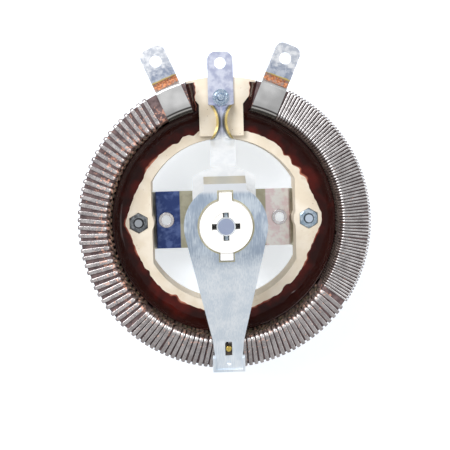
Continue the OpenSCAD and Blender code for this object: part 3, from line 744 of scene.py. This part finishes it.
def creamReach(angle):
    # how far the cream body reaches from the shaft in each direction: rim, boss noses and terminal block
    g = glass
    fromX = np.arcsin(np.clip(np.abs(np.cos(angle)), 0, 1))
    rimX = math.sqrt(g["rimR"] ** 2 - g["bossHalf"] ** 2)
    lean = math.atan2(g["bossHalf"], rimX - g["bossX"])
    lean -= math.acos(g["bossR"] / math.hypot(g["bossHalf"], rimX - g["bossX"]))
    touch = np.array([g["bossX"] + g["bossR"] * math.cos(lean), g["bossR"] * math.sin(lean)])
    run = np.array([rimX, g["bossHalf"]]) - touch
    line = (touch[0] * run[1] - touch[1] * run[0]) / (np.cos(fromX) * run[1] - np.sin(fromX) * run[0])
    chord = g["bossR"] ** 2 - (g["bossX"] * np.sin(fromX)) ** 2
    nose = g["bossX"] * np.cos(fromX) + np.sqrt(np.maximum(chord, 0))
    boss = np.where(np.tan(fromX) < touch[1] / touch[0], nose, line)
    boss = np.where(np.tan(fromX) < g["bossHalf"] / rimX, boss, 0)
    post = np.where(np.cos(angle) > 0, g["postHalf"] / np.maximum(np.abs(np.sin(angle)), 0.05), 0)
    return np.minimum(np.maximum(np.maximum(boss, g["rimR"]), post), ring["innerR"] - 0.4 * mm)


def enamelFilm():
    # glass that filled the valley and lapped unevenly over the rim: its edge wanders by a sum of waves,
    # its skin rises from the edge as one minus a falling exponential, and it climbs the ring's inner wall
    g = glass
    angle = np.radians(np.linspace(g["ends"], 360 - g["ends"], g["stepsRound"]))[:, None]
    wander = np.zeros_like(angle)
    for waves, size in g["waves"]:
        wander += size * np.sin(waves * angle + rng.uniform(0, 2 * np.pi))
    for place, wide, deep in g["drips"]:
        wander -= deep * np.exp(-((np.degrees(angle) - place) / wide) ** 2)
    reach = creamReach(angle)
    edge = reach - g["lap"] + g["wave"] * wander
    edge = np.clip(edge, g["rimR"] - g["onRim"], ring["innerR"] - g["wallGap"])
    share = np.linspace(0, 1, g["stepsAcross"])[None, :] ** 1.5
    radius = edge + (ring["innerR"] - 0.05 * mm - edge) * share
    inward = radius - edge
    climb = np.clip((radius - g["valleyR"]) / (ring["innerR"] - g["valleyR"]), 0, 1) ** g["steepness"]
    valley = g["valleyZ"] + g["climb"] * climb
    covered = np.clip((reach + 0.5 * mm - radius) / (0.5 * mm), 0, 1)
    height = np.maximum(valley, rimTopZ * covered) + g["skin"] * (1 - np.exp(-inward / g["bead"]))
    back = [g["stepsAcross"] - 1, g["stepsAcross"] // 2, 0]
    under = height[:, back] - g["depth"]
    radiusUnder = radius[:, back]
    points = around(np.concatenate([radius, radiusUnder], 1), angle, np.concatenate([height, under], 1))
    rusty = np.clip(0.55 + 0.4 * np.sin(7 * angle + 1.0) + 0.3 * np.sin(19 * angle), 0, 1)
    thin = rusty * np.exp(-inward / g["rust"])
    thin = np.concatenate([thin, thin[:, back]], axis=1)
    piece = gridMesh("enamel-film", points, closedV=True, values=dict(thin=thin), capped=True)
    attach(piece, bodyOf["enamel_coating"])
    piece.data.materials.append(finishOf("enamel_coating"))


shoulder = dict(edgeX=(-13.4 * mm, 15.2 * mm), floorZ=24.05 * mm, rise=7.5 * mm, coreAngle=14.0,
                wave=0.25 * mm, fromWall=0.4 * mm, fromRim=0.9 * mm, steepness=2.6, skin=0.3 * mm,
                depth=0.5 * mm, stepsOut=48, stepsAcross=18)


def enamelShoulder(side):
    # glass run between the terminal block and the end of the wound body: a fillet that rises as a power
    # of its way from a wandering edge on the block to the body's end
    s = shoulder
    edgeX = s["edgeX"][0 if side < 0 else 1]
    inner, outer = ring["innerR"] + s["fromWall"], ring["outerR"] - s["fromRim"]
    radius = np.linspace(inner, outer, s["stepsOut"])[:, None]
    wander = s["wave"] * (np.sin(radius / mm * 0.7 + side) + 0.6 * np.sin(radius / mm * 1.9 + 2 * side))
    first = np.arcsin(np.abs(edgeX + side * wander) / radius)
    last = np.radians(s["coreAngle"])
    share = np.linspace(0, 1, s["stepsAcross"])[None, :]
    angle = side * (first + (last - first) * share)
    height = s["floorZ"] + s["rise"] * share ** s["steepness"] + s["skin"] * (1 - np.exp(-share * 12))
    under = np.full_like(height[:, :2], s["floorZ"] - s["depth"])
    angleUnder = np.concatenate([angle[:, -1:], angle[:, :1]], axis=1)
    points = around(radius, np.concatenate([angle, angleUnder], 1), np.concatenate([height, under], 1))
    thin = np.exp(-share * 7) * np.ones_like(radius)
    thin = np.concatenate([thin, thin[:, [-1, 0]]], axis=1)
    if side > 0:
        points, thin = points[::-1], thin[::-1]
    piece = gridMesh("enamel-shoulder-" + ("left" if side < 0 else "right"), points, closedV=True,
                     values=dict(thin=thin), capped=True)
    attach(piece, bodyOf["enamel_coating"])
    piece.data.materials.append(finishOf("enamel_coating"))


enamelFilm()
enamelShoulder(-1)
enamelShoulder(1)
print("enamel made")

nuts = dict(
    base_nuts=dict(centres=((-fixingX, 0), (fixingX, 0)), flats=9.5 * mm, bore=2.42 * mm, turn=30),
    centre_nut=dict(centres=((0, terminalY),), flats=6.4 * mm, bore=1.77 * mm, turn=30),
)
nutShape = dict(chamfer=0.95, slope=0.5, mouth=0.25 * mm, steps=72)


def hexNut(node):
    # each nut is one profile carried round: its outer radius follows the six flats, and the top corners
    # fall away from the flats' inscribed circle at a steady slope
    n = nuts[node]
    bottom, top = low(node)[2], high(node)[2]
    phase = np.linspace(0, 2 * np.pi, nutShape["steps"], endpoint=False)[:, None]
    within = (phase - math.radians(n["turn"])) % (np.pi / 3) - np.pi / 6
    corner = n["flats"] / 2 / np.cos(within)
    face = n["flats"] / 2 * nutShape["chamfer"]
    drop = (corner - face) * nutShape["slope"]
    bore = n["bore"]
    flat = np.ones_like(phase)
    mouth = nutShape["mouth"]
    radius = np.concatenate([bore * flat, (bore + mouth) * flat, face * flat, corner, corner,
                             (bore + mouth) * flat, bore * flat], axis=1)
    height = np.concatenate([(top - mouth) * flat, top * flat, top * flat, top - drop, bottom * flat,
                             bottom * flat, (bottom + mouth) * flat], axis=1)
    one = np.stack([radius * np.cos(phase), radius * np.sin(phase), height], axis=-1)
    rows, columns = one.shape[:2]
    row, column = np.arange(rows)[:, None], np.arange(columns)[None, :]
    index = np.stack([row * columns + column, (row + 1) % rows * columns + column,
                      (row + 1) % rows * columns + (column + 1) % columns,
                      row * columns + (column + 1) % columns], axis=-1).reshape(-1, 4)[:, ::-1]
    points = np.concatenate([one.reshape(-1, 3) + (x, y, 0) for x, y in n["centres"]])
    faces = np.concatenate([index + place * rows * columns for place in range(len(n["centres"]))])
    piece = faceMesh(node.replace("_", "-") + "-cut", points, faces)
    piece.data.polygons.foreach_set("use_smooth", np.zeros(len(piece.data.polygons), dtype=bool))
    finished(piece, node)


for node in nuts:
    hexNut(node)
print("nuts cut")

edges = dict(
    ceramic_base=0.8 * mm, hub=0.35 * mm, contact_arm=0.14 * mm, mounting_strap=0.15 * mm,
    left_lug=0.14 * mm, right_lug=0.14 * mm,
    base_bolts=0.15 * mm, panel_inserts=0.2 * mm, shaft=0.12 * mm, bushing=0.2 * mm,
    track_brush=0.15 * mm, brush_pin=0.2 * mm, stop_finger=0.2 * mm, centre_screw=0.15 * mm,
)
for node, width in edges.items():
    softened(node, width)
softened("cross_pin", 0.1 * mm)
print("edges softened")
